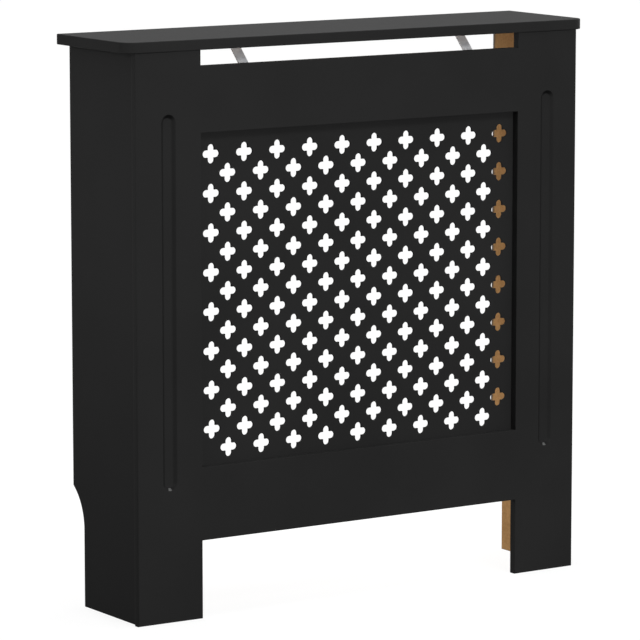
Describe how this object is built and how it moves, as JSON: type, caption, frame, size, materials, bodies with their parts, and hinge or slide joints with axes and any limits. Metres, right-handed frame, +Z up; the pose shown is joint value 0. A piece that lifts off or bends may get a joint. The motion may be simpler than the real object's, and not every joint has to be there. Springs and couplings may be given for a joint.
{
  "type": "radiator cover cabinet",
  "caption": "Open-backed board casing that hides a wall radiator: pierced front grille, warm-air slot under a shelf, open arch at the floor, skirting cut-outs.",
  "frame": {"origin": "on the floor, under the middle of the shelf: bottom centre of the bounding box", "axes": "+Z up, -Y out of the grille towards the room, +Y towards the wall, +X right as seen from the room"},
  "size_m": [0.78, 0.19, 0.815],
  "materials": {
    "painted_board": "smooth fibreboard, satin black paint on faces and edges, raw brown board inside",
    "painted_grille": "thin fibreboard sheet, satin black paint on the front and in the holes",
    "zinc_steel": "zinc-plated bent steel strip",
    "screw_steel": "zinc-plated",
    "beech": "plain beech dowel"
  },
  "bodies": {
    "root": {"front_board": "painted_board", "grille_panel": "painted_grille", "left_corner_bracket_screws": "screw_steel", "left_lower_corner_bracket": "zinc_steel", "left_shelf_brace": "zinc_steel", "left_side_dowels": "beech", "left_side_panel": "painted_board", "left_upper_corner_bracket": "zinc_steel", "left_wall_bracket": "zinc_steel", "right_corner_bracket_screws": "screw_steel", "right_lower_corner_bracket": "zinc_steel", "right_shelf_brace": "zinc_steel", "right_side_dowels": "beech", "right_side_panel": "painted_board", "right_upper_corner_bracket": "zinc_steel", "right_wall_bracket": "zinc_steel", "shelf_brace_screws": "screw_steel", "shelf_dowels": "beech", "top_shelf": "painted_board", "wall_bracket_screws": "screw_steel"}
  },
  "joints": []
}
